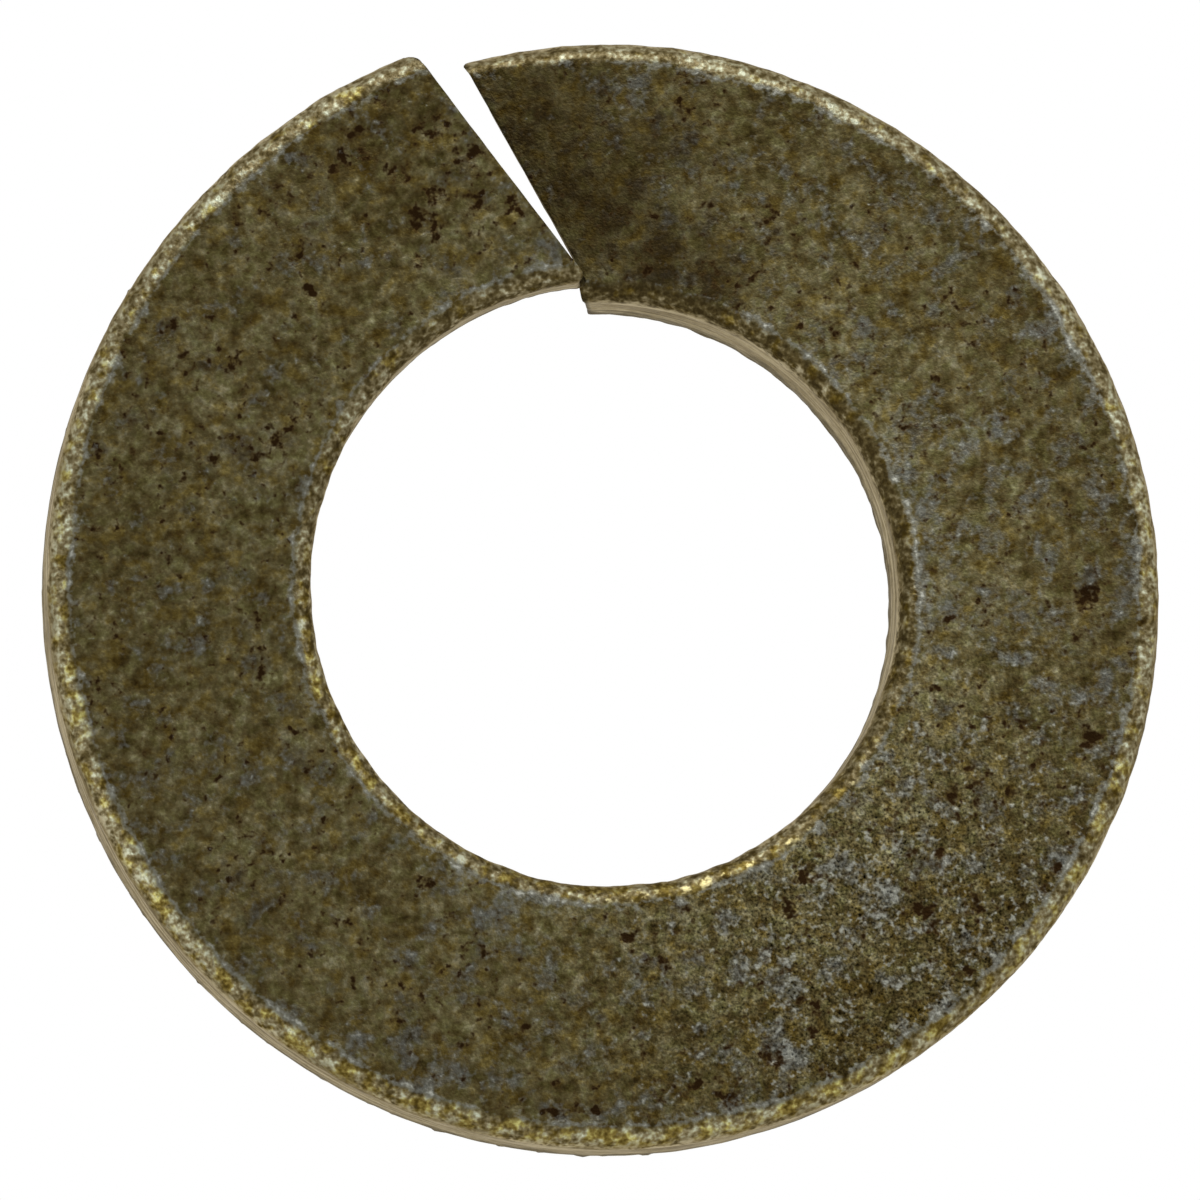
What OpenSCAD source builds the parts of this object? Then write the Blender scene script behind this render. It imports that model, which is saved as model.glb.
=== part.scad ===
// Split spring lock washer: one coil of keystone-section wire with rounded corners, in millimetres.
// Origin: on the bore's axis, halfway up the coil. +Z is the side a nut or screw head bears on.
// At the bore the split is centred on +Y. The raised end is on its -X side, the low end on its +X side.

/* [Bore] */
// Diameter of the bore
bore_diameter = 6.5; // [3:0.1:40]

/* [Wire section] */
// Width of the wire, from the bore to the rim
wire_width = 2.85; // [0.8:0.05:12]
// Thickness of the wire, midway between bore and rim
wire_thickness = 1.6; // [0.6:0.05:8]
// Extra thickness at the bore over that at the rim, left by the coiling
keystone = 0.08; // [0:0.01:0.4]
// Radius of the two corners at the rim
rim_corner_radius = 0.22; // [0.05:0.01:1]
// Radius of the two corners at the bore
bore_corner_radius = 0.2; // [0.05:0.01:1]

/* [Coil] */
// Height that the wire drops in one full turn, anticlockwise from the raised end seen from above
coil_rise = 2.17; // [0.2:0.01:10]

/* [Split] */
// Clear width between the two cut ends, straight across, at the bore
split_width = 0.13; // [0.05:0.01:2]
// Turn of the raised end's cut away from the radius, at the bore, in degrees
raised_end_skew = 30.1; // [0:0.1:50]
// Turn of the low end's cut away from the radius, at the bore, in degrees
low_end_skew = 22.6; // [0:0.1:50]

/* [Hidden] */
bore_radius = bore_diameter / 2;
rim_radius = bore_radius + wire_width;
middle_radius = bore_radius + wire_width / 2;
widest_corner = 0.3 * min(wire_width, wire_thickness);
rim_corner = min(rim_corner_radius, widest_corner);
bore_corner = min(bore_corner_radius, widest_corner);

split_angle = 90;
// Half of the split as an angle round the bore
half_split = split_width / cos((raised_end_skew + low_end_skew) / 2) / bore_radius * 90 / PI;
raised_end_angle = split_angle + half_split;
low_end_angle = split_angle + 360 - half_split;

// Steps round the coil and round each corner
coil_steps = 144;
corner_steps = 4;
// The swept wire stands this far proud of both round walls, which are then cut true
wall_overlap = 0.03;
// Tall enough to hold the whole coil
room_height = 2 * (coil_rise + wire_thickness + keystone);
round_facets = 360;

// Angle at which a straight cut, skewed from the radius at the bore, crosses the circle of radius r
function cut_angle(at_bore, skew, r) = at_bore + skew - asin(bore_radius * sin(skew) / r);

// Height of the wire's middle at an angle, which is counted once round from the split
function coil_height(angle) = coil_rise * (0.5 - (angle - split_angle) / 360);

// Thickness at radius r as a share of the thickness midway
function keystone_scale(r) = 1 + keystone / wire_thickness * (middle_radius - r) / wire_width;

// One upper corner of the section as points [r, h], from the flat face round to just past the wall.
// toward is 1 for the rim, where the wall faces outwards, and -1 for the bore
function corner(wall, radius, toward) =
    let (turn = 90 / corner_steps,
         rounded = [for (i = [0 : corner_steps]) radius * [sin(i * turn), cos(i * turn)]],
         last_step = rounded[corner_steps] - rounded[corner_steps - 1],
         past_wall = rounded[corner_steps] + last_step * wall_overlap / last_step[0])
    [for (i = [0 : corner_steps])
        let (p = i < corner_steps ? rounded[i] : past_wall)
        [wall + toward * (p[0] - radius), wire_thickness / 2 - radius + p[1]]];

function reversed(list) = [for (i = [len(list) - 1 : -1 : 0]) list[i]];

// The section walked once round: up from the bore wall, across the top, and back underneath
function section() =
    let (upper = concat(reversed(corner(bore_radius, bore_corner, -1)),
                        corner(rim_radius, rim_corner, 1)))
    concat(upper, [for (p = reversed(upper)) [p[0], -p[1]]]);

// Where a section point lies after it has travelled the share u of the coil
function coil_point(p, u) =
    let (from = cut_angle(raised_end_angle, raised_end_skew, p[0]),
         to = cut_angle(low_end_angle, low_end_skew, p[0]),
         angle = from + u * (to - from))
    [p[0] * cos(angle), p[0] * sin(angle), coil_height(angle) + p[1] * keystone_scale(p[0])];

// The wire carried round the coil, with a skew cut at each end
module coiled_wire() {
    outline = section();
    n = len(outline);
    points = [for (i = [0 : coil_steps], p = outline) coil_point(p, i / coil_steps)];
    sides = [for (i = [0 : coil_steps - 1], j = [0 : n - 1])
        let (a = i * n + j, b = i * n + (j + 1) % n)
        each [[a, b, b + n], [a, b + n, a + n]]];
    ends = [for (j = [0 : n / 2 - 2], far = [0, coil_steps * n])
        let (strip = [j, n - 1 - j, n - 2 - j, j + 1])
        [for (k = far == 0 ? strip : reversed(strip)) far + k]];
    polyhedron(points, concat(sides, ends), convexity = 6);
}

// The room between the true round walls of rim and bore
module between_walls() {
    difference() {
        cylinder(r = rim_radius, h = room_height, center = true, $fn = round_facets);
        cylinder(r = bore_radius, h = 2 * room_height, center = true, $fn = round_facets);
    }
}

module lock_washer() {
    color([0.36, 0.31, 0.19])
    intersection() {
        coiled_wire();
        between_walls();
    }
}

lock_washer();
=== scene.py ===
"""Visual model of a split spring lock washer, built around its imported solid.

The washer is modelled in millimetres, and its finished mesh is brought to metres in one step.
A turn round the coil is counted anticlockwise, seen from above, from the middle of the split on +Y.
"""

import logging
import math
from dataclasses import dataclass, field
from enum import Enum
from typing import Any, Callable

import bmesh
import bpy
import numpy as np
from mathutils import Matrix, Vector


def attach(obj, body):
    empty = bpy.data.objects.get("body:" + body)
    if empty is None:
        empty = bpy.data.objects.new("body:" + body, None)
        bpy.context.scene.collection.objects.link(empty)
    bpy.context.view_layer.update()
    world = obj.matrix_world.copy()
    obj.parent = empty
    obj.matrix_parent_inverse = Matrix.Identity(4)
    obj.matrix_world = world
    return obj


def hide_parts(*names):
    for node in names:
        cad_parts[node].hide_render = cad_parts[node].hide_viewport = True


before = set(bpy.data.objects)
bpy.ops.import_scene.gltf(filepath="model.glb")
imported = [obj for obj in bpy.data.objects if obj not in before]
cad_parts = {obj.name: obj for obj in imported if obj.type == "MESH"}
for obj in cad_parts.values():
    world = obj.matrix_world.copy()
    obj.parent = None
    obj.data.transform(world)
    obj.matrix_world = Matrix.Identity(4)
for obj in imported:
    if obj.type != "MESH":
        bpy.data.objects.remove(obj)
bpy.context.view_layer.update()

log = logging.getLogger("lock_washer")

Tree = bpy.types.NodeTree
Socket = bpy.types.NodeSocket
Tones = tuple[tuple[float, str], ...]
Weights = tuple[tuple["Layer", float], ...]
Slope = tuple[float, float, float]

MM = 0.001
# Millimetres under which two places are the same
TINY = 1e-4
# What the mesh carries to the finish
COIL_MAP = "coil_mm"
PAST_FLAT = "past_flat_mm"
TO_CUT = "to_cut_mm"


def linear(colour: str) -> tuple[float, float, float, float]:
    """Turns an sRGB hex colour into the linear values that a shader works in.

    Args:
        colour: six hex digits, with or without a leading #.

    Returns:
        Linear red, green and blue, and an alpha of 1.
    """
    digits = colour.lstrip("#")
    parts = (int(digits[i : i + 2], 16) / 255 for i in (0, 2, 4))
    red, green, blue = (c / 12.92 if c <= 0.04045 else ((c + 0.055) / 1.055) ** 2.4 for c in parts)
    return red, green, blue, 1.0


def add_node(tree: Tree, kind: str, inputs: dict | None = None, out: int | str = 0,
             stops: Tones = (), **settings: Any) -> Socket | None:
    """Adds one shader node with its settings, constants and links.

    Args:
        tree: the node tree that gets the node.
        kind: the node's type, without the word ShaderNode that all types start with.
        inputs: a constant, or the output socket to link, for each socket name or number.
        out: which of the node's outputs is wanted.
        stops: the places and colours on the ramp, for a node that has one.
        settings: the node's own properties.

    Returns:
        The wanted output of the new node, or None for a node without one.
    """
    node = tree.nodes.new("ShaderNode" + kind)
    for name, value in settings.items():
        setattr(node, name, value)
    for socket, value in (inputs or {}).items():
        if isinstance(value, Socket):
            tree.links.new(value, node.inputs[socket])
        else:
            node.inputs[socket].default_value = value
    for index, (position, colour) in enumerate(stops):
        marks = node.color_ramp.elements
        mark = marks[index] if index < len(marks) else marks.new(position)
        mark.position, mark.color = position, linear(colour)
    return node.outputs[out] if len(node.outputs) else None


class Modeller:
    """Works on one mesh with Blender's own tools, as by hand."""

    def __init__(self, name: str) -> None:
        """Starts from a plane one unit wide, which stands upright in the XZ plane.

        Args:
            name: what the object is called.
        """
        bpy.ops.object.select_all(action="DESELECT")
        bpy.ops.mesh.primitive_plane_add(size=1, location=(0, 0, 0), rotation=(math.pi / 2, 0, 0))
        bpy.ops.object.transform_apply(location=True, rotation=True, scale=True)
        self.piece = bpy.context.active_object
        self.piece.name = self.piece.data.name = name

    def activate(self) -> None:
        """Selects this piece alone and makes it the active one."""
        bpy.ops.object.select_all(action="DESELECT")
        self.piece.select_set(True)
        bpy.context.view_layer.objects.active = self.piece

    def edit(self) -> None:
        """Goes into edit mode with nothing selected."""
        self.activate()
        bpy.ops.object.mode_set(mode="EDIT")
        bpy.ops.mesh.select_mode(type="VERT")
        bpy.ops.mesh.select_all(action="DESELECT")

    def leave(self) -> None:
        """Goes back to object mode."""
        bpy.ops.object.mode_set(mode="OBJECT")

    def pick(self, wanted: Callable[[bmesh.types.BMVert], bool]) -> None:
        """Selects the vertices that are wanted, and nothing else.

        Args:
            wanted: says whether a vertex is to be selected.
        """
        bpy.ops.mesh.select_all(action="DESELECT")
        mesh = bmesh.from_edit_mesh(self.piece.data)
        for vertex in mesh.verts:
            vertex.select = wanted(vertex)
        mesh.select_flush(True)
        bmesh.update_edit_mesh(self.piece.data, loop_triangles=False, destructive=False)

    def pick_edges(self, wanted: Callable[[bmesh.types.BMEdge], bool]) -> None:
        """Selects the edges that are wanted, and nothing else.

        Args:
            wanted: says whether an edge is to be selected.
        """
        bpy.ops.mesh.select_mode(type="EDGE")
        bpy.ops.mesh.select_all(action="DESELECT")
        mesh = bmesh.from_edit_mesh(self.piece.data)
        for edge in [e for e in mesh.edges if wanted(e)]:
            edge.select_set(True)
        bmesh.update_edit_mesh(self.piece.data, loop_triangles=False, destructive=False)

    def modify(self, name: str, kind: str, **settings: Any) -> None:
        """Adds a modifier and applies it.

        Args:
            name: what the modifier is for.
            kind: the modifier's type.
            settings: the modifier's own properties.
        """
        self.activate()
        modifier = self.piece.modifiers.new(name, kind)
        for key, value in settings.items():
            setattr(modifier, key, value)
        bpy.ops.object.modifier_apply(modifier=modifier.name)

    def grade(self, name: str, weights: np.ndarray, levels: int = 6) -> None:
        """Makes a vertex group from weights.

        Args:
            name: what the group is called.
            weights: the weight of each vertex, from 0 to 1.
            levels: how many steps the weights are rounded to.
        """
        group = self.piece.vertex_groups.new(name=name)
        steps = np.round(weights * levels)
        for step in range(1, levels + 1):
            group.add(np.flatnonzero(steps == step).tolist(), step / levels, "REPLACE")


class End(Enum):
    """The two cut ends of the coil, each with the way that its half of the coil is swept."""

    RAISED = 1
    LOW = -1


@dataclass(frozen=True)
class Cut:
    """Where one end was sheared off. Lengths are in millimetres.

    Attributes:
        gap: from the middle of the split to the cut, at the bore and halfway up.
        skew: turn of the cut away from the radius in degrees, at the bore.
        lean: slope of the cut away from upright in degrees, so that the low end is undercut.
        bore_round: radius to which its edge at the bore is worn.
        rim_round: radius to which its edge at the rim is worn.
        lip: how far the shear drew the metal out along the wire, next to the bore.
        lip_width: distance from the bore within which it did.
    """

    gap: float
    skew: float
    lean: float
    bore_round: float
    rim_round: float
    lip: float = 0.0
    lip_width: float = 0.47


class Mark(Enum):
    """What a blemish is, with the name under which the mesh carries it to the finish."""

    PIT = "pitted"
    ZINC = "bared_zinc"
    # Partly a brown stain and partly painted shadow, where the raised end shades the low end
    STAIN = "stained"
    # A painted glint stands for a softbox's reflection on a rounded corner
    BRASS = "bared_brass"


@dataclass(frozen=True)
class Blemish:
    """A place on the upper face, by its turn in degrees and its radius and reach in millimetres."""

    mark: Mark
    turn: float
    radius: float
    reach: float
    strength: float = 1.0


SPOTS: dict[Mark, tuple[tuple[float, ...], ...]] = {
    Mark.PIT: (
        (265, 5.26, 0.13, 1.5), (25, 5.48, 0.26), (28, 5.36, 0.17), (21, 5.76, 0.11, 1.2),
        (23, 4.99, 0.17), (18, 5.24, 0.16), (16, 5.29, 0.13), (14, 4.85, 0.12), (10, 4.23, 0.12),
        (24, 4.40, 0.20), (26, 4.13, 0.12), (30, 4.76, 0.10), (15, 4.33, 0.12), (20, 4.63, 0.13),
        (42, 4.49, 0.09, 1.2), (40, 4.84, 0.08), (59, 4.46, 0.09), (170, 5.74, 0.16), (174, 5.68, 0.11),
        (186, 5.48, 0.14), (189, 5.68, 0.12), (195, 5.39, 0.12), (144, 3.77, 0.08),
        (179, 3.79, 0.10, 1.2), (165, 4.87, 0.08, 1.2), (179, 4.77, 0.09), (204, 3.94, 0.10, 1.2),
        (202, 5.05, 0.09), (211, 3.78, 0.09), (220, 4.86, 0.14, 1.2), (220, 5.11, 0.12),
        (225, 5.32, 0.12), (219, 5.67, 0.10), (234, 5.73, 0.12), (228, 4.61, 0.10), (235, 4.40, 0.16),
        (240, 4.39, 0.12), (239, 4.96, 0.10), (247, 4.62, 0.12), (248, 4.86, 0.13), (249, 5.53, 0.12),
        (301, 5.54, 0.12, 0.8), (284, 3.90, 0.10, 0.8)),
    Mark.ZINC: (
        (150, 3.55, 0.22), (158, 3.50, 0.30, 1.2), (166, 3.56, 0.22), (165, 3.70, 0.16),
        (352, 5.41, 0.34), (296, 5.72, 0.30), (289, 4.57, 0.30), (7, 3.50, 0.20, 1.2),
        (4, 3.80, 0.16, 1.2), (146, 5.74, 0.18), (138, 5.80, 0.12), (156, 5.80, 0.14), (281, 3.50, 0.26),
        (268, 3.50, 0.20), (274, 3.48, 0.22), (262, 3.50, 0.20), (256, 3.50, 0.20), (288, 3.52, 0.24),
        (294, 3.55, 0.20), (324, 4.79, 0.14), (346, 4.45, 0.22), (311, 4.06, 0.18), (214, 3.98, 0.26),
        (223, 4.25, 0.24, 0.8), (227, 5.87, 0.16), (235, 5.86, 0.14), (195, 4.31, 0.26),
        (191, 5.20, 0.26), (196, 5.52, 0.22), (180, 4.30, 0.16)),
    # The low end's darkening by the split: partly a brown stain, partly painted shadow of the raised end
    Mark.STAIN: (
        (357, 4.30, 0.95, 1.1), (362, 5.30, 0.80), (346, 3.75, 0.60), (337, 3.75, 0.50, 0.9),
        (352, 4.90, 0.60, 0.8), (357, 5.75, 0.30, 0.6), (130, 5.20, 0.50, 0.25)),
    # Painted glints, in a line along the bore's lower corner and once on the raised end's rim corner
    Mark.BRASS: (
        (176, 3.41, 0.10), (179, 3.40, 0.11), (182, 3.39, 0.12), (186, 3.39, 0.12), (190, 3.39, 0.12),
        (194, 3.39, 0.12), (198, 3.39, 0.11), (203, 3.40, 0.11), (212, 3.41, 0.13), (216, 3.42, 0.10),
        (228, 3.41, 0.10, 0.8), (12, 5.95, 0.15, 0.7)),
}
BLEMISHES = tuple(Blemish(mark, *spot) for mark, spots in SPOTS.items() for spot in spots)


@dataclass(frozen=True)
class Wear:
    """A kind of wear: its hollows' size and depth in millimetres, and the vertex group that it keeps to."""

    name: str
    size: float
    depth: float
    where: str = ""


@dataclass
class CoiledWire:
    """The wire of the washer, with its sizes in millimetres and its angles in degrees.

    The cuts are about square to the wire, so they lean with its slope: the low end is undercut, and the
    raised end's lower edge stands out. A band is a distance past the flat's edge and half a width.
    """

    bore_radius: float = 3.22
    rim_radius: float = 6.097
    thickness: float = 1.60
    keystone: float = 0.08
    rim_corner: float = 0.22
    bore_corner: float = 0.20
    rise: float = 2.17
    cuts: dict[End, Cut] = field(default_factory=lambda: {
        End.RAISED: Cut(-0.12, 35.0, 5.6, 0.10, 0.20), End.LOW: Cut(0.335, 30.6, 6.7, 0.03, 0.05, 0.18)})
    die_line_depth: float = 0.010
    die_line_pitch: float = 0.31
    die_line_drift: tuple[float, float] = (4.1, 0.8)
    half_turn: float = 174.0
    turn_steps: int = 258
    flat_steps: int = 48
    wall_steps: int = 24
    corner_steps: int = 6
    joint_rows: int = 8
    straight_over: float = 0.9
    cut_edge_radius: float = 0.02
    cut_inset: float = 0.08
    sharp_angle: float = 55.0
    smooth_angle: float = 50.0
    end_twist: float = 3.0
    twist_reach: float = 3.0
    twist_from: float = 0.012
    tip_taper: float = 0.06
    taper_reach: float = 2.6
    corner_band: tuple[float, float] = (0.22, 0.28)
    lower_band: tuple[float, float] = (0.30, 0.20)
    cut_fade: float = 0.3
    wears: tuple[Wear, ...] = (Wear("waves", 1.1, 0.016), Wear("dents", 0.30, 0.012),
                               Wear("worn_corners", 0.20, 0.045, "corners"),
                               Wear("nicks", 0.14, 0.080, "lower_rim"))
    blemishes: tuple[Blemish, ...] = BLEMISHES
    pit_depth: float = 0.020

    @property
    def middle(self) -> float:
        """Radius midway between bore and rim."""
        return (self.bore_radius + self.rim_radius) / 2

    @property
    def width(self) -> float:
        """Width of the wire, from the bore to the rim."""
        return self.rim_radius - self.bore_radius

    def height(self, turn: float) -> float:
        """Height of the wire's middle after a turn from the split."""
        return self.rise * (0.5 - turn / 360)

    def cut_turn(self, end: End, radius: Any, lift: Any) -> Any:
        """Finds the turn at which the wire ends.

        Args:
            end: which of the two cut ends.
            radius: distance from the bore's axis, as a number or an array.
            lift: height over the wire's middle.

        Returns:
            The turn in degrees.
        """
        cut = self.cuts[end]
        reach = self.bore_radius * math.sin(math.radians(cut.skew))
        turn = math.radians(cut.skew) - np.arcsin(reach / np.maximum(radius, self.bore_radius))
        turn = turn + end.value * cut.gap / self.bore_radius
        lean = math.tan(math.radians(cut.lean))
        turn = turn + (lift * lean + end.value * self.worn_back(end, radius)) / radius
        return np.degrees(turn) + (0 if end is End.RAISED else 360)

    def worn_back(self, end: End, radius: Any) -> Any:
        """Finds how far the upright edges of a cut are worn back along the wire.

        Args:
            end: which of the two cut ends.
            radius: distance from the bore's axis, as a number or an array.

        Returns:
            The distance, which is nought away from the edges, and negative on a lip.
        """
        cut = self.cuts[end]
        worn = -cut.lip * np.clip(1 - (radius - self.bore_radius) / cut.lip_width, 0, 1)
        reach = self.bore_radius * math.sin(math.radians(cut.skew))
        for wall, side, rounding in ((self.bore_radius, 1, cut.bore_round),
                                     (self.rim_radius, -1, cut.rim_round)):
            slope = end.value * math.tan(math.asin(reach / wall))
            hypotenuse = math.hypot(1, slope)
            off = np.clip(radius - wall - side * rounding, -rounding, rounding)
            inside = (off - rounding * slope / hypotenuse) * side < 0
            back = rounding * hypotenuse - slope * off - np.sqrt(rounding ** 2 - off ** 2)
            worn = worn + np.where(inside, back, 0.0)
        return worn

    def section(self, end: End) -> Modeller:
        """Makes the outline of the wire's section, lying in one of the two cuts.

        Args:
            end: which of the two cut ends.

        Returns:
            The outline, as edges only.
        """
        hand = Modeller(f"half_coil_{end.name.lower()}")
        hand.edit()
        bpy.ops.mesh.select_all(action="SELECT")
        bpy.ops.transform.resize(value=(self.width, 1, self.thickness), center_override=(0, 0, 0))
        bpy.ops.transform.translate(value=(self.middle, 0, 0))
        for side in (-1, 1):
            hand.pick(lambda v, side=side: (v.co.x - self.middle) * side > 0)
            taper = 1 - side * self.keystone / self.thickness / 2
            bpy.ops.transform.resize(value=(1, 1, taper), center_override=(0, 0, 0))
        for wall, radius in ((self.bore_radius, self.bore_corner), (self.rim_radius, self.rim_corner)):
            hand.pick(lambda v, wall=wall: abs(v.co.x - wall) < TINY)
            bpy.ops.mesh.bevel(affect="VERTICES", offset_type="OFFSET", offset=radius,
                               segments=self.corner_steps, profile=0.5)
        bpy.ops.mesh.select_all(action="SELECT")
        bpy.ops.mesh.delete(type="ONLY_FACE")
        for steps, along in ((self.flat_steps, 0), (self.wall_steps, 2)):
            hand.pick_edges(lambda e, along=along:
                            abs(e.verts[0].co[along] - e.verts[1].co[along]) > self.straight_over)
            bpy.ops.mesh.subdivide(number_cuts=steps - 1)
        bpy.ops.mesh.select_mode(type="VERT")
        self.shape_outline(hand, end)
        return hand

    def shape_outline(self, hand: Modeller, end: End) -> None:
        """Draws the die lines in the walls, and carries each point round the helicoid to the cut.

        Args:
            hand: the outline, in edit mode.
            end: which of the two cut ends it is for.
        """
        mesh = bmesh.from_edit_mesh(hand.piece.data)
        straight = self.thickness / 2 - self.keystone / 4 - self.rim_corner
        for index, (radius, _, lift) in enumerate([v.co.copy() for v in mesh.verts]):
            hand.pick(lambda v, index=index: v.index == index)
            on_wall = min(abs(radius - self.bore_radius), abs(radius - self.rim_radius)) < TINY
            if on_wall and abs(lift) < straight - 10 * TINY:
                rate, offset = self.die_line_drift
                waves = math.sin(2 * math.pi * lift / self.die_line_pitch) + math.sin(rate * lift + offset)
                inward = math.copysign(self.die_line_depth * (waves + 2) / 4, self.middle - radius)
                bpy.ops.transform.translate(value=(inward, 0, 0))
            turn = float(self.cut_turn(end, radius, lift))
            bpy.ops.transform.rotate(value=-math.radians(90 + turn), orient_axis="Z",
                                     orient_type="GLOBAL", center_override=(0, 0, 0))
            bpy.ops.transform.translate(value=(0, 0, self.height(turn)))

    def half(self, end: End) -> Modeller:
        """Sweeps half of the coil away from one of its cut ends.

        Args:
            end: which of the two cut ends.

        Returns:
            The half coil, open at both ends.
        """
        hand = self.section(end)
        hand.leave()
        turn = end.value * self.half_turn
        hand.modify("coil", "SCREW", axis="Z", angle=math.radians(turn),
                    screw_offset=-self.rise * turn / 360,
                    steps=self.turn_steps, render_steps=self.turn_steps)
        return hand

    def closed(self) -> Modeller:
        """Joins the two half coils and closes the whole.

        Returns:
            The washer's plain shape as one closed surface, with its cut edges just broken.
        """
        low, hand = self.half(End.LOW), self.half(End.RAISED)
        hand.activate()
        low.piece.select_set(True)
        bpy.ops.object.join()
        hand.edit()
        hand.pick_edges(lambda e: e.is_boundary and e.verts[0].co.y < 0)
        bpy.ops.mesh.bridge_edge_loops(number_cuts=self.joint_rows, interpolation="LINEAR")
        for end in End:
            self.close_cut(hand, end)
        bpy.ops.mesh.select_all(action="SELECT")
        bpy.ops.mesh.remove_doubles(threshold=TINY)
        bpy.ops.mesh.normals_make_consistent(inside=False)
        sharp = math.radians(self.sharp_angle)
        hand.pick_edges(lambda e: e.verts[0].co.y > 0 and e.calc_face_angle() > sharp)
        bpy.ops.mesh.bevel(affect="EDGES", offset=self.cut_edge_radius, segments=2, profile=0.5)
        hand.leave()
        return hand

    def close_cut(self, hand: Modeller, end: End) -> None:
        """Fills one cut end with a grid of faces.

        Args:
            hand: the joined coil, in edit mode.
            end: the cut end to fill.
        """
        hand.pick_edges(lambda e: e.is_boundary and (e.verts[0].co.z > 0) == (end is End.RAISED))
        mesh = bmesh.from_edit_mesh(hand.piece.data)
        loop = [v for v in mesh.verts if v.select]
        middle = self.height(float(self.cut_turn(end, self.bore_radius, 0.0)))
        eased = self.bore_corner * (1 - math.sqrt(0.5))
        corner = Vector((self.bore_radius + eased, middle + self.thickness / 2 - eased))
        start = min(loop, key=lambda v: (Vector((v.co.xy.length, v.co.z)) - corner).length)
        mesh.select_history.clear()
        mesh.select_history.add(start)
        bmesh.update_edit_mesh(hand.piece.data, loop_triangles=False, destructive=False)
        bpy.ops.mesh.fill_grid(span=self.flat_steps + self.corner_steps, offset=0)

    def twist_end(self, hand: Modeller) -> None:
        """Twists the raised end a little about its rim, as the shear left it, so that its bore side sinks.

        Args:
            hand: the closed washer, in object mode.
        """
        hand.edit()
        mesh = bmesh.from_edit_mesh(hand.piece.data)
        away = mesh.verts.layers.float[TO_CUT]
        hand.pick(lambda v: v[away] < self.twist_from and v.co.z > 0)
        bpy.ops.transform.rotate(value=-math.radians(self.end_twist), orient_axis="X", orient_type="GLOBAL",
                                 center_override=(0, self.rim_radius, (self.rise + self.thickness) / 2),
                                 use_proportional_edit=True, proportional_edit_falloff="SMOOTH",
                                 proportional_size=self.twist_reach, use_proportional_connected=True)
        hand.leave()

    def finish(self) -> bpy.types.Object:
        """Makes the whole washer.

        Returns:
            The finished piece, in metres, dressed and attached.
        """
        hand = self.closed()
        self.measure(hand.piece.data)
        self.twist_end(hand)
        self.wear(hand)
        hand.edit()
        bpy.ops.mesh.select_all(action="SELECT")
        bpy.ops.transform.resize(value=(MM, MM, MM), center_override=(0, 0, 0))
        hand.leave()
        bpy.ops.object.shade_smooth_by_angle(angle=math.radians(self.smooth_angle))
        hand.piece.name = hand.piece.data.name = "spring_lock_washer"
        self.dress(hand.piece)
        return hand.piece

    def dress(self, piece: bpy.types.Object) -> None:
        """Gives the washer its finish, hangs it on the root body, and hides the imported part that it stands
        for.

        Args:
            piece: the finished washer.
        """
        piece.data.materials.clear()
        piece.data.materials.append(PlatedSpringSteel().make())
        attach(piece, "root")
        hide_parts("lock_washer")

    def places(self, mesh: bpy.types.Mesh) -> tuple[np.ndarray, np.ndarray, np.ndarray]:
        """Finds where the vertices lie on the coil. The turn goes past 0 and 360 where the skew ends do.

        Args:
            mesh: the washer's mesh, in millimetres.

        Returns:
            The radius, the turn from the split in degrees, and the height over the wire's middle.
        """
        points = np.empty(len(mesh.vertices) * 3)
        mesh.vertices.foreach_get("co", points)
        x, y, z = points.reshape(-1, 3).T
        turn = np.degrees(np.arctan2(-x, y)) % 360
        turn = np.where((turn > 330) & (z > 0), turn - 360, turn)
        turn = np.where((turn < 30) & (z < 0), turn + 360, turn)
        return np.hypot(x, y), turn, z - self.rise * (0.5 - turn / 360)

    def measure(self, mesh: bpy.types.Mesh) -> None:
        """Writes on the mesh what the finish reads.

        The map runs along the coil and up its wall. PAST_FLAT is how far a point is past the flat face's
        edge, round the corner and down the wall, and is negative on the flat. TO_CUT is how far a point
        is from the nearer cut end, and is nought on the cut itself, where the grid of faces lies deeper
        in the wire than any other. Each kind of mark has its own strength.

        Args:
            mesh: the washer's mesh, in millimetres.
        """
        radius, turn, lift = self.places(mesh)
        half = self.thickness / 2 * (1 + self.keystone / self.thickness * (self.middle - radius) / self.width)
        at_rim = radius > self.middle
        corner = np.where(at_rim, self.rim_corner, self.bore_corner)
        over = corner - np.where(at_rim, self.rim_radius - radius, radius - self.bore_radius)
        down = corner - (half - np.abs(lift))
        arc = corner * np.arctan2(np.maximum(over, 0), np.maximum(down, 1e-6))
        past = np.where(over < 0, over, np.where(down < 0, corner * math.pi / 2 - down, arc))
        to_cut = np.full_like(radius, self.rim_radius)
        for end in End:
            away = np.radians(turn - self.cut_turn(end, radius, lift)) * end.value * radius
            away = away + np.maximum(self.worn_back(end, radius), 0)
            reach = self.bore_radius * math.sin(math.radians(self.cuts[end].skew))
            square = np.sqrt(1 - np.minimum(reach / radius, 1) ** 2)
            to_cut = np.minimum(to_cut, away * square)
        to_wall = np.minimum(radius - self.bore_radius, self.rim_radius - radius)
        to_cut[np.minimum(half - np.abs(lift), to_wall) > self.cut_inset] = 0.0
        values = {PAST_FLAT: past, TO_CUT: to_cut} | {mark.value: np.zeros_like(radius) for mark in Mark}
        for blemish in self.blemishes:
            along = np.radians(turn - blemish.turn) * blemish.radius
            distance = np.hypot(along, radius - blemish.radius) / blemish.reach
            spread = blemish.strength * np.exp(-distance ** 2) * (lift > 0)
            values[blemish.mark.value] = np.maximum(values[blemish.mark.value], spread)
        for name, value in values.items():
            mesh.attributes.new(name, "FLOAT", "POINT").data.foreach_set("value", value.astype(np.float32))
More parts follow.
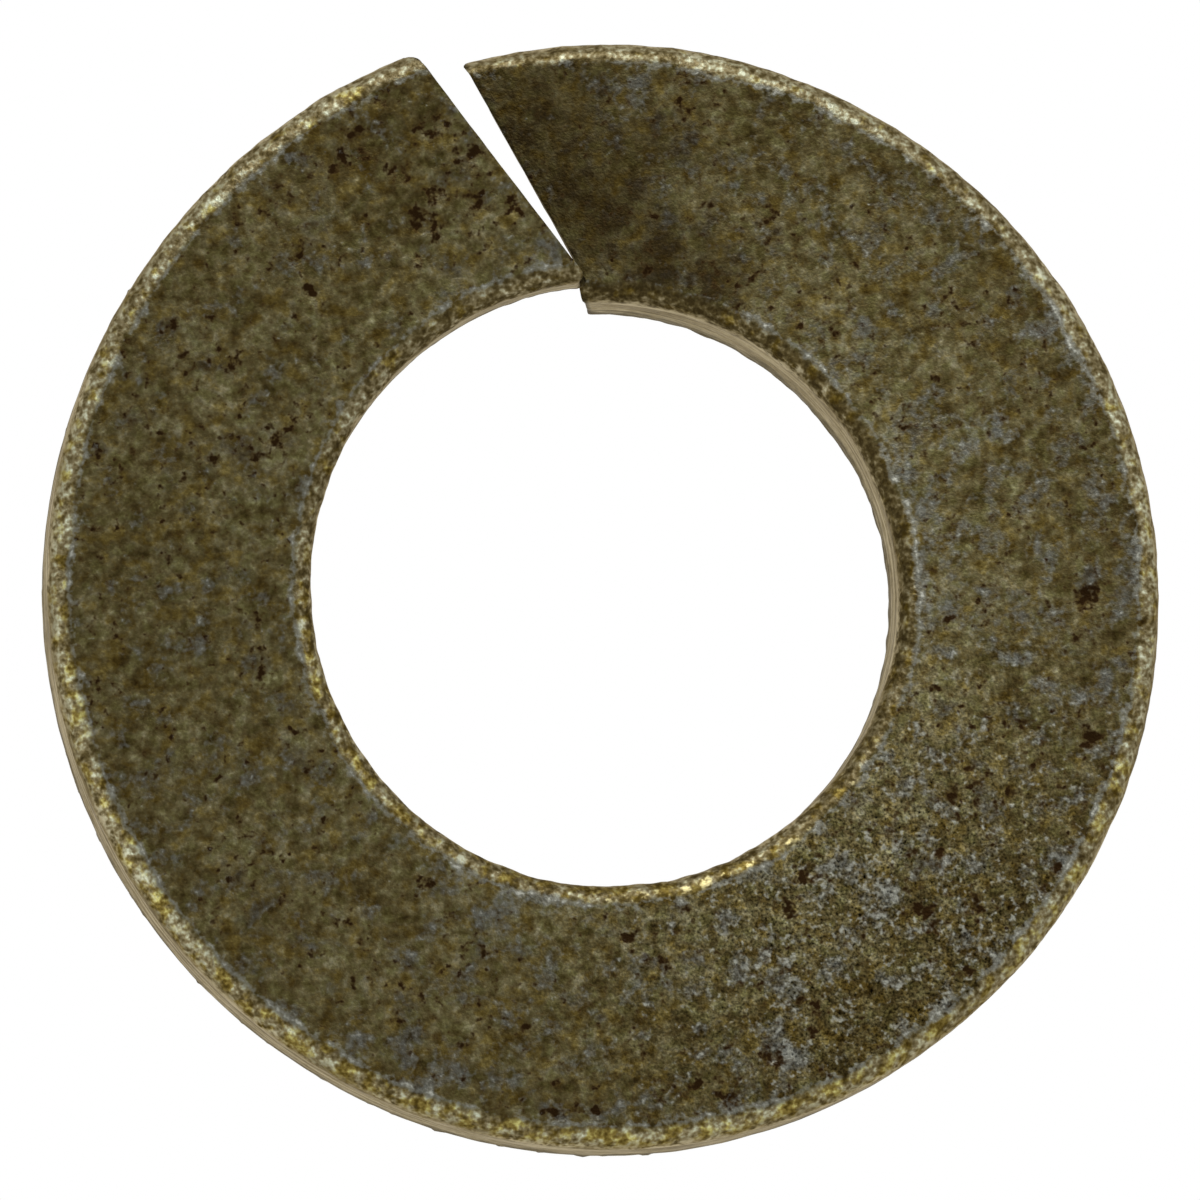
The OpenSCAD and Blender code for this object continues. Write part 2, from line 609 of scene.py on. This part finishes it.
        corners = np.empty(len(mesh.loops), dtype=np.int32)
        mesh.loops.foreach_get("vertex_index", corners)
        coil = np.column_stack((np.radians(turn) * radius, lift))[corners]
        layer = mesh.uv_layers.get(COIL_MAP) or mesh.uv_layers.new(name=COIL_MAP)
        layer.uv.foreach_set("vector", coil.astype(np.float32).ravel())

    def wear(self, hand: Modeller) -> None:
        """Gives the plain shape its waves, worn corners and larger pits, all of them inwards.

        Args:
            hand: the closed washer, in object mode.
        """
        mesh = hand.piece.data
        values = {}
        for name in (PAST_FLAT, TO_CUT, Mark.PIT.value):
            values[name] = np.empty(len(mesh.vertices), dtype=np.float32)
            mesh.attributes[name].data.foreach_get("value", values[name])
        radius, turn, lift = self.places(mesh)
        off_cut = np.clip(values[TO_CUT] / self.cut_fade, 0, 1)
        rim_side = radius > self.middle
        for name, (middle, reach), where in (("corners", self.corner_band, 1.0),
                                             ("lower_rim", self.lower_band, rim_side & (lift < 0))):
            band = np.clip(1 - np.abs(values[PAST_FLAT] - middle) / reach, 0, 1)
            hand.grade(name, band * off_cut * where)
        hand.grade("pits", np.clip(values[Mark.PIT.value] * 1.6 - 0.5, 0, 1))
        # The low tip's taper fades out along the wire, down the wall and at the edge of the flat
        to_tip = np.radians(self.cut_turn(End.LOW, radius, lift) - turn) * radius
        near_tip = np.clip(1 - to_tip / self.taper_reach, 0, 1) ** 1.5 * np.clip(lift / 0.5 + 0.8, 0, 1)
        hand.grade("low_tip", rim_side * near_tip * np.clip(values[PAST_FLAT] / 0.2, 0, 1), levels=30)
        for wear in self.wears:
            texture = bpy.data.textures.new(wear.name, "CLOUDS")
            texture.noise_scale, texture.noise_depth = wear.size, 1
            hand.modify(wear.name, "DISPLACE", texture=texture, texture_coords="LOCAL", mid_level=0.75,
                        strength=wear.depth, vertex_group=wear.where)
        for name, direction, depth in (("pits", "NORMAL", self.pit_depth),
                                       ("low_tip", "Y", self.tip_taper)):
            hand.modify(name, "DISPLACE", direction=direction, mid_level=0.0, strength=-depth,
                        vertex_group=name)


class Layer(Enum):
    """A layer of noise: the size of its coarsest features in millimetres, and its finer octaves.

    They are the stray shades, spots and scratches of a barrel-plated part, each about as large as it is
    on the real one. The finest is drawn as coarse as it needs to show.
    """

    BLOTCH = (0.62, 3.0)
    MOTTLE = (0.16, 3.0)
    SPECK = (0.065, 1.5)
    GRAIN = (0.030, 1.0)
    HUE = (0.18, 3.0)
    ZINC = (0.30, 3.5)
    PITS = (0.11, 2.0)


@dataclass(frozen=True)
class Tint:
    """A colour that comes over the coating wherever a value passes from one level to another."""

    colour: str
    starts: float
    full: float
    strength: float = 1.0
    blend: str = "MIX"

    def over(self, tree: Tree, colour: Socket, value: Socket) -> Socket:
        """Lays the tint over a colour.

        Args:
            tree: the material's node tree.
            colour: the colour so far.
            value: what the levels are compared with.

        Returns:
            The colour with the tint on it.
        """
        share = add_node(tree, "MapRange", {"Value": value, "From Min": self.starts, "From Max": self.full,
                                            "To Max": self.strength})
        return add_node(tree, "Mix", {0: share, 6: colour, 7: linear(self.colour)}, 2, data_type="RGBA",
                        blend_type=self.blend)


@dataclass(frozen=True)
class Surface:
    """What a finish reads at each point of the washer, as sockets. Lengths are in millimetres.

    Attributes:
        tree: the material's node tree.
        place: the place on the object.
        radius: the distance from the bore's axis.
        coil: the place along the coil and up its wall.
        past: the distance past the edge of the flat face, round the corner and down the wall.
        to_cut: the distance from the nearer cut end.
        marks: how strongly each kind of blemish shows.
        noises: the layers of noise, each from 0 to 1 with its middle at 0.5.
    """

    tree: Tree
    place: Socket
    radius: Socket
    coil: Socket
    past: Socket
    to_cut: Socket
    marks: dict[Mark, Socket]
    noises: dict[Layer, Socket]

    def tone(self, weights: Weights, middle: float = 0.0) -> Socket:
        """Adds noises up, each by its weight, to a value that varies about its middle.

        Args:
            weights: how much each layer counts.
            middle: the sum where every layer is at its own middle.

        Returns:
            The sum.
        """
        total = middle - sum(weight for _, weight in weights) / 2
        for layer, weight in weights:
            total = add_node(self.tree, "Math", {0: self.noises[layer], 1: weight, 2: total},
                             operation="MULTIPLY_ADD")
        return total


@dataclass(frozen=True)
class PlatedSpringSteel:
    """Hardened spring steel, zinc plated in a tumbling barrel and passivated to a dull olive drab.

    The eye gets a dull, mottled olive metal with grey hazes of zinc. The tumbling has worn the corners to
    patchy brass and left small brown pits, and the walls still have the lines of the drawing die. Painted
    light lies over this: a glitter of painted highlights on the flats, painted glints on the corners and
    along the flat's edge, and painted shade round the bore, on the cut faces, low on the walls and, over a
    real brown stain, on the low end. Sizes are in millimetres, and a slope is how much a value rises with
    each millimetre along X, Y and Z.
    """

    flat_tones: Tones = ((0.28, "#2a200e"), (0.40, "#433920"), (0.48, "#534a2f"), (0.56, "#665e42"),
                         (0.68, "#8f896f"))
    flat_weights: Weights = ((Layer.BLOTCH, 0.28), (Layer.MOTTLE, 0.58), (Layer.SPECK, 0.22))
    flat_middle: float = 4.6
    paler_inwards: float = 0.018
    paler_slope: Slope = (0.0022, -0.0010, 0.0)
    green: Tint = Tint("#f2ffd6", 0.50, 0.36, 0.50, "MULTIPLY")
    brown: Tint = Tint("#fff1b8", 0.50, 0.64, 0.85, "MULTIPLY")

    zinc: Tint = Tint("#676862", 0.555, 0.765, 0.84)
    zinc_slope: Slope = (0.008, -0.005, 0.0)
    zinc_at_mark: float = 0.13
    zinc_ragged: Weights = ((Layer.SPECK, 0.45),)
    fleck: Tint = Tint("#9c9c90", 0.67, 0.79, 0.75)
    fleck_weights: Weights = ((Layer.SPECK, 0.75),)
    fleck_middle: float = 0.305
    fleck_in_painted_glitter: float = 0.045
    fleck_in_haze: float = 0.35

    # Painted glitter: grain-sized painted highlights on the flats, strongest towards the lower right, where
    # the light glances
    painted_glitter_place: tuple[float, float, float] = (2.7, -4.0, 0.0)
    painted_glitter_reach: tuple[float, float] = (1.3, 4.2)
    painted_sparkle: tuple[float, float] = (0.5, 2.6)
    painted_sparkle_weights: Weights = ((Layer.SPECK, 0.52), (Layer.GRAIN, 1.25))

    # A brown stain with painted shadow over it, darkest on the low end
    stain: Tint = Tint("#2b200e", 0.20, 1.15, 0.90)
    stain_and_shadow_ragged: Weights = ((Layer.BLOTCH, 2.2), (Layer.MOTTLE, 3.0), (Layer.ZINC, 2.4))
    pit_halo: Tint = Tint("#40311a", 0.58, 0.68, 0.70)
    pit: Tint = Tint("#26190b", 0.65, 0.74, 1.0)
    pit_weights: Weights = ((Layer.PITS, 1.0), (Layer.BLOTCH, 0.40), (Layer.SPECK, 0.15))
    pit_middle: float = 0.49
    pit_at_mark: float = 0.22

    corner_from: tuple[float, float] = (-0.03, 0.03)
    corner_stray: Weights = ((Layer.BLOTCH, 0.16), (Layer.MOTTLE, 0.12))
    corner_tones: Tones = ((0.22, "#382e18"), (0.36, "#51462a"), (0.50, "#786d50"), (0.60, "#999579"),
                           (0.72, "#c6cab2"))
    corner_weights: Weights = ((Layer.BLOTCH, 0.16), (Layer.MOTTLE, 0.60), (Layer.SPECK, 0.75))
    bore_side: tuple[float, float] = (4.9, 4.5)
    # Painted shade round the bore's corner, deepest towards its right and top
    bore_shade: float = 0.09
    bore_slope: Slope = (-0.014, -0.013, 0.0)
    stain_and_shadow_on_corners: float = 0.14
    brass: Tint = Tint("#fff2a4", 0.50, 0.64, 0.90, "MULTIPLY")
    brass_slope: Slope = (-0.003, -0.013, 0.0)
    # Painted glints on the corners, where a softbox is reflected
    glint: Tint = Tint("#eadb9c", 0.80, 1.35, 0.95)
    glint_ragged: Weights = ((Layer.SPECK, 2.0), (Layer.MOTTLE, 1.4))

    # Bare grey zinc along the flat's edge, partly a painted highlight on the ridge; the edge glint is a
    # brighter painted highlight
    edge_haze_and_highlight: Tint = Tint("#76756a", 0.55, 1.20, 0.88)
    edge_glint: Tint = Tint("#b2b2a6", 1.20, 1.65, 0.85)
    edge_reach: float = 0.085
    edge_ragged: Weights = ((Layer.ZINC, 1.7), (Layer.MOTTLE, 1.7), (Layer.SPECK, 1.7))
    edge_at_zinc: float = 0.3
    edge_at_stain_and_shadow: float = -0.8

    wall_from: tuple[float, float] = (0.19, 0.36)
    wall_stray: Weights = ((Layer.MOTTLE, 0.5), (Layer.SPECK, 0.4))
    wall_tones: Tones = ((0.26, "#463b25"), (0.47, "#7d7153"), (0.70, "#b0a587"))
    # Painted shade on the lower part of the walls and their lower corners
    underside_shade: Tint = Tint("#2f2914", -0.10, -0.48, 0.90)
    underside_shade_stray: Weights = ((Layer.MOTTLE, 0.9),)
    cut_from: tuple[float, float] = (0.070, 0.030)
    cut_top: tuple[float, float] = (0.775, 0.725)
    # Painted shade: the cut faces are coloured dark as though in shadow
    shaded_cut_tones: Tones = ((0.38, "#1f1a0f"), (0.62, "#3c3522"))
    drawn_lines: tuple[float, float, float] = (0.8, 7.5, 1.0)
    torn_lines: tuple[float, float, float] = (14.0, 14.0, 1.6)
    line_specks: Weights = ((Layer.SPECK, 0.30),)

    grazing_tint: str = "#ebe0cc"
    relief_weights: Weights = ((Layer.MOTTLE, 1.2), (Layer.GRAIN, 0.8))
    relief_height: float = 0.018
    relief_strength: float = 0.50
    roughness: tuple[float, float] = (0.54, 0.42)

    def make(self) -> bpy.types.Material:
        """Makes the material.

        Returns:
            The finish, in shader nodes.
        """
        material = bpy.data.materials.new("plated_spring_steel")
        material.use_nodes = True
        tree = material.node_tree
        tree.nodes.clear()
        on = self.surface(tree)
        bump = add_node(tree, "Bump", {"Strength": self.relief_strength, "Distance": self.relief_height * MM,
                                       "Height": on.tone(self.relief_weights)})
        roughness = add_node(tree, "MapRange", {
            "Value": on.noises[Layer.ZINC], "From Min": 0.35, "From Max": 0.65,
            "To Min": self.roughness[0], "To Max": self.roughness[1]})
        shader = add_node(tree, "BsdfPrincipled", {
            "Base Color": self.colour(on), "Metallic": 1.0, "Roughness": roughness, "Normal": bump,
            "Specular Tint": linear(self.grazing_tint)})
        add_node(tree, "OutputMaterial", {"Surface": shader})
        return material

    def surface(self, tree: Tree) -> Surface:
        """Reads what the mesh carries, and makes the layers of noise that the whole finish shares.

        Args:
            tree: the material's node tree.

        Returns:
            What the finish reads at each point.
        """
        metres = add_node(tree, "TexCoord", out="Object")
        place = add_node(tree, "VectorMath", {0: metres, "Scale": 1 / MM}, operation="SCALE")
        level = add_node(tree, "VectorMath", {0: place, 1: (1.0, 1.0, 0.0)}, operation="MULTIPLY")
        radius = add_node(tree, "VectorMath", {0: level}, "Value", operation="LENGTH")
        coil = add_node(tree, "UVMap", uv_map=COIL_MAP)
        past, to_cut, *marks = (add_node(tree, "Attribute", attribute_name=name, out="Fac")
                                for name in (PAST_FLAT, TO_CUT, *(mark.value for mark in Mark)))
        noises = {}
        for index, layer in enumerate(Layer):
            size, octaves = layer.value
            moved = add_node(tree, "VectorMath", {0: place, 1: (17.0 * index + 3.0,) * 3}, operation="ADD")
            noises[layer] = add_node(tree, "TexNoise", {"Vector": moved, "Scale": 1 / size,
                                                        "Detail": octaves, "Roughness": 0.55})
        return Surface(tree, place, radius, coil, past, to_cut, dict(zip(Mark, marks)), noises)

    def colour(self, on: Surface) -> Socket:
        """Puts the colours of flats, corners, walls and cuts together.

        Args:
            on: what the finish reads at each point.

        Returns:
            The colour of the whole washer.
        """
        tree = on.tree
        strayed = add_node(tree, "Math", {0: on.tone(self.corner_stray), 1: on.past}, operation="ADD")
        share = add_node(tree, "MapRange", {"Value": strayed, "From Min": self.corner_from[0],
                                            "From Max": self.corner_from[1]})
        colour = add_node(tree, "Mix", {0: share, 6: self.flat_colour(on), 7: self.corner_colour(on)}, 2,
                          data_type="RGBA")
        colour = self.with_edge_line(on, strayed, colour)
        lift = add_node(tree, "SeparateXYZ", {0: on.coil}, 1)
        at_cut = add_node(tree, "MapRange", {"Value": on.to_cut, "From Min": self.cut_from[0],
                                             "From Max": self.cut_from[1]})
        under = add_node(tree, "MapRange", {"Value": lift, "From Min": self.cut_top[0],
                                            "From Max": self.cut_top[1]})
        on_cut = add_node(tree, "Math", {0: at_cut, 1: under}, operation="MULTIPLY")
        wall, cut = self.wall_and_cut_colours(on, lift, on_cut)
        frayed = add_node(tree, "Math", {0: on.past, 1: on.tone(self.wall_stray)}, operation="ADD")
        share = add_node(tree, "MapRange", {"Value": frayed, "From Min": self.wall_from[0],
                                            "From Max": self.wall_from[1]})
        colour = add_node(tree, "Mix", {0: share, 6: colour, 7: wall}, 2, data_type="RGBA")
        return add_node(tree, "Mix", {0: on_cut, 6: colour, 7: cut}, 2, data_type="RGBA")

    def flat_colour(self, on: Surface) -> Socket:
        """Mixes the mottled olive of the flat faces, with painted glitter, a sparkle of painted highlights
        that is strongest towards the lower right.

        Args:
            on: what the finish reads at each point.

        Returns:
            The colour, with its grey hazes, its brown stains with painted shadow on the low end, and its
            pits.
        """
        tree = on.tree
        tone = on.tone(self.flat_weights, 0.5)
        paler = add_node(tree, "VectorMath", {0: on.place, 1: self.paler_slope}, "Value",
                         operation="DOT_PRODUCT")
        paler = add_node(tree, "Math", {0: paler, 1: self.paler_inwards}, operation="ADD")
        inwards = add_node(tree, "Math", {0: self.flat_middle, 1: on.radius}, operation="SUBTRACT")
        tone = add_node(tree, "Math", {0: inwards, 1: paler, 2: tone}, operation="MULTIPLY_ADD")
        colour = add_node(tree, "ValToRGB", {0: tone}, stops=self.flat_tones)
        for tint in (self.green, self.brown):
            colour = tint.over(tree, colour, on.noises[Layer.HUE])

        haze = add_node(tree, "Math", {0: on.marks[Mark.ZINC], 1: self.zinc_at_mark,
                                       2: on.noises[Layer.ZINC]}, operation="MULTIPLY_ADD")
        side = add_node(tree, "VectorMath", {0: on.place, 1: self.zinc_slope}, "Value",
                        operation="DOT_PRODUCT")
        haze = add_node(tree, "Math", {0: haze, 1: side}, operation="ADD")
        ragged = add_node(tree, "Math", {0: haze, 1: on.tone(self.zinc_ragged)}, operation="ADD")
        colour = self.zinc.over(tree, colour, ragged)

        # Painted glitter: the colour is brightened and darkened grain by grain, most towards the lower right
        away = add_node(tree, "VectorMath", {0: on.place, 1: self.painted_glitter_place}, "Value",
                        operation="DISTANCE")
        painted_glitter = add_node(tree, "MapRange", {
            "Value": away, "From Min": self.painted_glitter_reach[1], "From Max": self.painted_glitter_reach[0],
            "To Min": self.painted_sparkle[0], "To Max": self.painted_sparkle[1]})
        painted_sparkle = add_node(tree, "Math", {0: on.tone(self.painted_sparkle_weights), 1: painted_glitter, 2: 1.0},
                           operation="MULTIPLY_ADD")
        colour = add_node(tree, "VectorMath", {0: colour, "Scale": painted_sparkle}, operation="SCALE")

        # Pale zinc flecks, with more of them in the painted glitter
        bright = on.tone(self.fleck_weights, self.fleck_middle)
        for value, weight in ((painted_glitter, self.fleck_in_painted_glitter), (haze, self.fleck_in_haze)):
            bright = add_node(tree, "Math", {0: value, 1: weight, 2: bright}, operation="MULTIPLY_ADD")
        colour = self.fleck.over(tree, colour, bright)
        # Brown stain and painted shadow on the low end
        stained = add_node(tree, "Math", {0: on.marks[Mark.STAIN], 1: on.tone(self.stain_and_shadow_ragged)},
                           operation="ADD")
        colour = self.stain.over(tree, colour, stained)
        pitted = add_node(tree, "Math", {0: on.marks[Mark.PIT], 1: self.pit_at_mark,
                                         2: on.tone(self.pit_weights, self.pit_middle)},
                          operation="MULTIPLY_ADD")
        for tint in (self.pit_halo, self.pit):
            colour = tint.over(tree, colour, pitted)
        return colour

    def corner_colour(self, on: Surface) -> Socket:
        """Mixes the patchy worn brass of the rounded corners, with painted shade round the bore and on the
        stained, shadowed low end, and painted glints.

        Args:
            on: what the finish reads at each point.

        Returns:
            The colour.
        """
        tree = on.tree
        at_bore = add_node(tree, "MapRange", {"Value": on.radius, "From Min": self.bore_side[0],
                                              "From Max": self.bore_side[1]})
        shade = add_node(tree, "VectorMath", {0: on.place, 1: self.bore_slope}, "Value",
                         operation="DOT_PRODUCT")
        shade = add_node(tree, "Math", {0: shade, 1: self.bore_shade}, operation="SUBTRACT")
        tone = on.tone(self.corner_weights, 0.5)
        # Painted shade round the bore, and darker corners where the low end is stained and in painted shadow
        for value, weight in ((at_bore, shade), (on.marks[Mark.STAIN], -self.stain_and_shadow_on_corners)):
            tone = add_node(tree, "Math", {0: value, 1: weight, 2: tone}, operation="MULTIPLY_ADD")
        colour = add_node(tree, "ValToRGB", {0: tone}, stops=self.corner_tones)
        lower = add_node(tree, "VectorMath", {0: on.place, 1: self.brass_slope}, "Value",
                         operation="DOT_PRODUCT")
        brassy = add_node(tree, "Math", {0: on.noises[Layer.HUE], 1: lower}, operation="ADD")
        colour = self.brass.over(tree, colour, brassy)
        # Painted glints laid over the corner's colour
        pale_tint_level = add_node(tree, "Math", {0: on.marks[Mark.BRASS], 1: on.tone(self.glint_ragged)},
                         operation="ADD")
        return self.glint.over(tree, colour, pale_tint_level)

    def with_edge_line(self, on: Surface, strayed: Socket, colour: Socket) -> Socket:
        """Lays a broken pale line along the flat's edge: bare grey zinc where the tumbling rubs hardest,
        partly a painted highlight on the ridge there, with brighter painted glints.

        Args:
            on: what the finish reads at each point.
            strayed: the distance past the flat's edge in millimetres, made uneven.
            colour: the colour so far.

        Returns:
            The colour with the line in it.
        """
        tree = on.tree
        away = add_node(tree, "Math", {0: strayed, 1: self.corner_from[0]}, operation="SUBTRACT")
        away = add_node(tree, "Math", {0: away}, operation="ABSOLUTE")
        near = add_node(tree, "MapRange", {"Value": away, "From Min": self.edge_reach, "From Max": 0.0})
        pale_tint_level = add_node(tree, "Math", {0: near, 1: on.tone(self.edge_ragged)}, operation="ADD")
        for mark, weight in ((Mark.ZINC, self.edge_at_zinc), (Mark.STAIN, self.edge_at_stain_and_shadow)):
            pale_tint_level = add_node(tree, "Math", {0: on.marks[mark], 1: weight, 2: pale_tint_level},
                             operation="MULTIPLY_ADD")
        for tint in (self.edge_haze_and_highlight, self.edge_glint):
            colour = tint.over(tree, colour, pale_tint_level)
        return colour

    def wall_and_cut_colours(self, on: Surface, lift: Socket, on_cut: Socket) -> tuple[Socket, Socket]:
        """Mixes the walls, with the die's fine lines along the wire and painted shade low down, and the cuts,
        torn in upright lines and darkened with painted shade.

        Args:
            on: what the finish reads at each point.
            lift: the height over the wire's middle in millimetres.
            on_cut: 1 on the cut faces and 0 elsewhere.

        Returns:
            The walls' colour and the cut faces' colour.
        """
        tree = on.tree
        drawn = add_node(tree, "VectorMath", {0: on.coil, 1: self.drawn_lines}, operation="MULTIPLY")
        torn = add_node(tree, "VectorMath", {0: on.place, 1: self.torn_lines}, operation="MULTIPLY")
        lines = add_node(tree, "Mix", {0: on_cut, 4: drawn, 5: torn}, 1, data_type="VECTOR")
        lines = add_node(tree, "TexNoise", {"Vector": lines, "Scale": 1.0, "Detail": 2.0})
        lines = add_node(tree, "Math", {0: lines, 1: on.tone(self.line_specks)}, operation="ADD")
        wall = add_node(tree, "ValToRGB", {0: lines}, stops=self.wall_tones)
        # Painted shade low on the walls
        lift = add_node(tree, "Math", {0: lift, 1: on.tone(self.underside_shade_stray)}, operation="ADD")
        wall = self.underside_shade.over(tree, wall, lift)
        # The cut faces take their dark colours as painted shade
        return wall, add_node(tree, "ValToRGB", {0: lines}, stops=self.shaded_cut_tones)


@dataclass(frozen=True)
class OpalGlass:
    """The lit opal glass of a light table, which gives the eye a plain white ground without shadows."""

    colour: str = "#ffffff"
    glow: float = 1.0

    def make(self) -> bpy.types.Material:
        """Makes the material.

        Returns:
            The finish, in shader nodes.
        """
        material = bpy.data.materials.new("opal_glass")
        material.use_nodes = True
        tree = material.node_tree
        tree.nodes.clear()
        shader = add_node(tree, "BsdfPrincipled", {
            "Base Color": linear("#000000"), "Roughness": 1.0, "Specular IOR Level": 0.0,
            "Emission Color": linear(self.colour), "Emission Strength": self.glow})
        add_node(tree, "OutputMaterial", {"Surface": shader})
        return material


@dataclass(frozen=True)
class Softbox:
    """One round soft light that faces the washer: its place in degrees and metres, and its power in watts."""

    name: str
    azimuth: float
    elevation: float
    distance: float
    size: float
    power: float


@dataclass
class Studio:
    """The plain pale floor, the soft lights and the camera. Lengths are in metres."""

    floor_height: float = -0.00192
    floor_size: float = 3.0
    softboxes: tuple[Softbox, ...] = (
        Softbox("softbox_back", 95, 42, 0.5, 0.35, 1.1),
        Softbox("softbox_right", 20, 45, 0.5, 0.35, 0.42),
        Softbox("softbox_left", 205, 35, 0.5, 0.40, 0.55),
        Softbox("softbox_front", 285, 35, 0.5, 0.40, 0.32),
    )
    room_colour: tuple[float, float, float, float] = (0.97, 0.985, 1.0, 1.0)
    room_glow: tuple[float, float] = (0.98, 0.50)
    room_fade: tuple[float, float] = (0.2, 0.95)
    camera_distance: float = 0.2427
    camera_lens: float = 670.0
    camera_lean: tuple[float, float] = (-0.0747, -0.0903)
    camera_roll: float = 4.6
    camera_slip: tuple[float, float] = (-0.000012, -0.000064)

    def floor(self) -> bpy.types.Object:
        """Makes the floor.

        Returns:
            The floor, which isn't part of the washer.
        """
        bpy.ops.object.select_all(action="DESELECT")
        bpy.ops.mesh.primitive_plane_add(size=self.floor_size, location=(0, 0, self.floor_height))
        bpy.ops.object.transform_apply(location=True, rotation=True, scale=True)
        floor = bpy.context.active_object
        floor.name = "floor"
        floor.data.materials.append(OpalGlass().make())
        return floor

    def lights(self) -> None:
        """Hangs the soft lights and gives the room its pale glow, which fades towards the ceiling."""
        for box in self.softboxes:
            azimuth, elevation = math.radians(box.azimuth), math.radians(box.elevation)
            level = math.cos(elevation)
            away = Vector((math.cos(azimuth) * level, math.sin(azimuth) * level, math.sin(elevation)))
            lamp = bpy.data.lights.new(box.name, "AREA")
            lamp.shape, lamp.size, lamp.energy = "DISK", box.size, box.power
            holder = bpy.data.objects.new(box.name, lamp)
            holder.location = away * box.distance
            holder.rotation_euler = away.to_track_quat("Z", "Y").to_euler()
            bpy.context.scene.collection.objects.link(holder)
        world = bpy.data.worlds.new("pale_room")
        world.use_nodes = True
        tree = world.node_tree
        tree.nodes.clear()
        up = add_node(tree, "SeparateXYZ", {0: add_node(tree, "TexCoord", out="Generated")}, 2)
        fade = add_node(tree, "MapRange", {
            "Value": up, "From Min": self.room_fade[0], "From Max": self.room_fade[1],
            "To Min": self.room_glow[0], "To Max": self.room_glow[1]})
        glow = add_node(tree, "Background", {"Color": self.room_colour, "Strength": fade})
        add_node(tree, "OutputWorld", {"Surface": glow})
        bpy.context.scene.world = world
        bpy.context.scene.view_settings.view_transform = "Standard"

    def camera(self) -> None:
        """Puts the camera almost overhead and far away, leaning towards -X and -Y."""
        back = Vector((*self.camera_lean, 1.0)).normalized()
        up = (Vector((0, 1, 0)) - back * back.y).normalized()
        axes = Matrix((up.cross(back), up, back)).transposed()
        axes = Matrix.Rotation(-math.radians(self.camera_roll), 3, "Z") @ axes
        data = bpy.data.cameras.new("camera")
        data.sensor_width, data.lens = 36.0, self.camera_lens
        data.clip_start, data.clip_end = 0.01, 20.0
        holder = bpy.data.objects.new("camera", data)
        place = axes @ Vector((*self.camera_slip, self.camera_distance))
        holder.matrix_world = Matrix.Translation(place) @ axes.to_4x4()
        bpy.context.scene.collection.objects.link(holder)
        bpy.context.scene.camera = holder


def main() -> None:
    """Builds everything in order."""
    logging.basicConfig(level=logging.INFO, format="%(name)s: %(message)s")
    washer = CoiledWire().finish()
    log.info("%s: %d faces", washer.name, len(washer.data.polygons))
    studio = Studio()
    floor = studio.floor()
    studio.lights()
    studio.camera()
    log.info("%s, lights and camera placed", floor.name)


if __name__ == "__main__":
    main()
